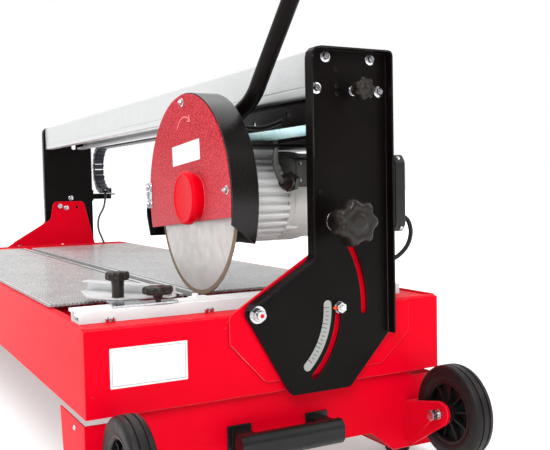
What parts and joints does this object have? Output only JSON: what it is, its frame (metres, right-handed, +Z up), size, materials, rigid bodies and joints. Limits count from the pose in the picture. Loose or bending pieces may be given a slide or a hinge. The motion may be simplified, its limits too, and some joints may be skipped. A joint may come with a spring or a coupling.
{
  "type": "masonry saw",
  "caption": "Bridge-type masonry saw: red water tray on folded stands, tilting aluminium bridge, sliding and plunging saw head with guarded blade, transport wheels.",
  "frame": {"origin": "centre of the bounding box's footprint, on the floor under the rubber feet", "axes": "+Z up, +Y along the bridge from the wheel end to the far end, +X across the tray towards the motor's switch box"},
  "size_m": [0.6844, 2.118, 0.9297],
  "materials": {
    "red_paint": "satin powder coat",
    "black_paint": "satin powder coat",
    "aluminium": "anodised extrusion",
    "bright_steel": "zinc plated",
    "blade_steel": "ground, with a sintered rim",
    "grey_casting": "painted casting",
    "table_mat": "ribbed mat",
    "black_plastic": "moulded",
    "rubber": "matt",
    "tyre": "solid rubber",
    "scale_strip": "printed aluminium strip",
    "green_plastic": "moulded",
    "red_plastic": "moulded"
  },
  "bodies": {
    "base": {"body_tray": "red_paint", "table_left": "table_mat", "table_right": "table_mat", "front_stand": "red_paint", "rear_stand": "red_paint", "carry_handle_front": "black_plastic", "carry_handle_rear": "black_plastic", "fence_rail": "aluminium", "water_pump": "black_plastic", "foot_front_left": "rubber", "foot_front_right": "rubber", "foot_rear_left": "rubber", "foot_rear_right": "rubber", "fixed_plate_front": "red_paint", "fixed_plate_rear": "red_paint", "pivot_bolt_front": "bright_steel", "pivot_bolt_rear": "bright_steel", "stop_bolt": "bright_steel", "lock_stud_front": "bright_steel", "lock_stud_rear": "bright_steel", "wheel_bracket_left": "red_paint", "wheel_bracket_right": "red_paint", "axle_bolt_left": "bright_steel", "axle_bolt_right": "bright_steel"},
    "bridge": {"bevel_plate_front": "black_paint", "bevel_plate_rear": "black_paint", "bridge_beam": "aluminium", "angle_scale": "scale_strip", "chain_bracket": "black_paint", "cable_chain": "black_plastic"},
    "carriage": {"carriage_frame": "black_paint", "plunge_shaft": "bright_steel"},
    "head": {"head_plate": "black_paint", "motor_body": "aluminium", "motor_end_bell": "grey_casting", "switch_box": "black_plastic", "terminal_box": "grey_casting", "guard_shell": "black_paint", "guard_cover": "red_paint", "pull_handle": "black_paint"},
    "blade": {"saw_blade": "blade_steel", "motor_shaft": "bright_steel", "blade_nut": "bright_steel"},
    "start_button": {"start_button": "green_plastic"},
    "stop_button": {"stop_button": "red_plastic"},
    "roller_1": {"roller_1": "black_plastic"},
    "roller_2": {"roller_2": "black_plastic"},
    "roller_3": {"roller_3": "black_plastic"},
    "roller_4": {"roller_4": "black_plastic"},
    "lock_knob_front": {"lock_knob_front": "black_plastic"},
    "lock_knob_rear": {"lock_knob_rear": "black_plastic"},
    "beam_knob": {"beam_knob": "black_plastic"},
    "wheel_left": {"tyre_left": "tyre", "wheel_hub_left": "black_plastic"},
    "wheel_right": {"tyre_right": "tyre", "wheel_hub_right": "black_plastic"},
    "mitre_slider": {"mitre_slider": "aluminium"},
    "mitre_fence": {"mitre_fence": "aluminium"},
    "mitre_knob": {"mitre_knob": "black_plastic"},
    "rail_knob": {"rail_knob": "black_plastic"}
  },
  "joints": [
    {"name": "bridge_tilt", "type": "hinge", "parent": "base", "child": "bridge", "pos_m": [-0.06725, -0.87696, 0.291], "axis": [0, -1, 0], "range_deg": [0, 45]},
    {"name": "head_slide", "type": "slide", "parent": "bridge", "child": "carriage", "axis": [0, 1, 0], "range_m": [0, 1.2]},
    {"name": "head_plunge", "type": "hinge", "parent": "carriage", "child": "head", "pos_m": [0.10775, -0.47196, 0.59], "axis": [1, 0, 0], "range_deg": [0, 5]},
    {"name": "blade_spin", "type": "hinge", "parent": "head", "child": "blade", "pos_m": [-0.07025, -0.66196, 0.475], "axis": [1, 0, 0], "continuous": true},
    {"name": "start_press", "type": "slide", "parent": "head", "child": "start_button", "axis": [-1, 0, 0], "range_m": [0, 0.004], "stiffness_N_per_m": 200},
    {"name": "stop_press", "type": "slide", "parent": "head", "child": "stop_button", "axis": [-1, 0, 0], "range_m": [0, 0.004], "stiffness_N_per_m": 200},
    {"name": "roller_1_spin", "type": "hinge", "parent": "carriage", "child": "roller_1", "pos_m": [0.05375, -0.81696, 0.6603], "axis": [1, 0, 0], "range_deg": [-5800, 60]},
    {"name": "roller_2_spin", "type": "hinge", "parent": "carriage", "child": "roller_2", "pos_m": [0.16275, -0.81696, 0.6603], "axis": [1, 0, 0], "range_deg": [-5800, 60]},
    {"name": "roller_3_spin", "type": "hinge", "parent": "carriage", "child": "roller_3", "pos_m": [0.05375, -0.50696, 0.6603], "axis": [1, 0, 0], "range_deg": [-5800, 60]},
    {"name": "roller_4_spin", "type": "hinge", "parent": "carriage", "child": "roller_4", "pos_m": [0.16275, -0.50696, 0.6603], "axis": [1, 0, 0], "range_deg": [-5800, 60]},
    {"name": "lock_knob_front_turn", "type": "hinge", "parent": "base", "child": "lock_knob_front", "pos_m": [0.08021, -0.93696, 0.4334], "axis": [0, -1, 0], "range_deg": [0, 270]},
    {"name": "lock_knob_rear_turn", "type": "hinge", "parent": "base", "child": "lock_knob_rear", "pos_m": [0.08021, 1.03304, 0.4334], "axis": [0, 1, 0], "range_deg": [0, 270]},
    {"name": "beam_knob_turn", "type": "hinge", "parent": "bridge", "child": "beam_knob", "pos_m": [0.11975, -0.91696, 0.65], "axis": [0, -1, 0], "range_deg": [0, 270]},
    {"name": "wheel_left_spin", "type": "hinge", "parent": "base", "child": "wheel_left", "pos_m": [-0.30525, -0.96396, 0.104], "axis": [1, 0, 0], "continuous": true},
    {"name": "wheel_right_spin", "type": "hinge", "parent": "base", "child": "wheel_right", "pos_m": [0.26875, -0.96396, 0.104], "axis": [1, 0, 0], "continuous": true},
    {"name": "mitre_slide", "type": "slide", "parent": "base", "child": "mitre_slider", "axis": [1, 0, 0], "range_m": [-0.01, 0.02]},
    {"name": "fence_swing", "type": "hinge", "parent": "mitre_slider", "child": "mitre_fence", "pos_m": [-0.24425, -0.73096, 0.325], "axis": [0, 0, 1], "range_deg": [-10, 20]},
    {"name": "mitre_knob_turn", "type": "hinge", "parent": "mitre_slider", "child": "mitre_knob", "pos_m": [-0.24425, -0.73096, 0.35], "axis": [0, 0, 1], "range_deg": [0, 270]},
    {"name": "rail_knob_turn", "type": "hinge", "parent": "mitre_slider", "child": "rail_knob", "pos_m": [-0.20125, -0.80296, 0.325], "axis": [0, 0, 1], "range_deg": [0, 270]}
  ],
  "couplings": [
    {"joint": "roller_1_spin", "follows": "head_slide", "rad_per_m": -83.333},
    {"joint": "roller_2_spin", "follows": "head_slide", "rad_per_m": -83.333},
    {"joint": "roller_3_spin", "follows": "head_slide", "rad_per_m": -83.333},
    {"joint": "roller_4_spin", "follows": "head_slide", "rad_per_m": -83.333}
  ]
}
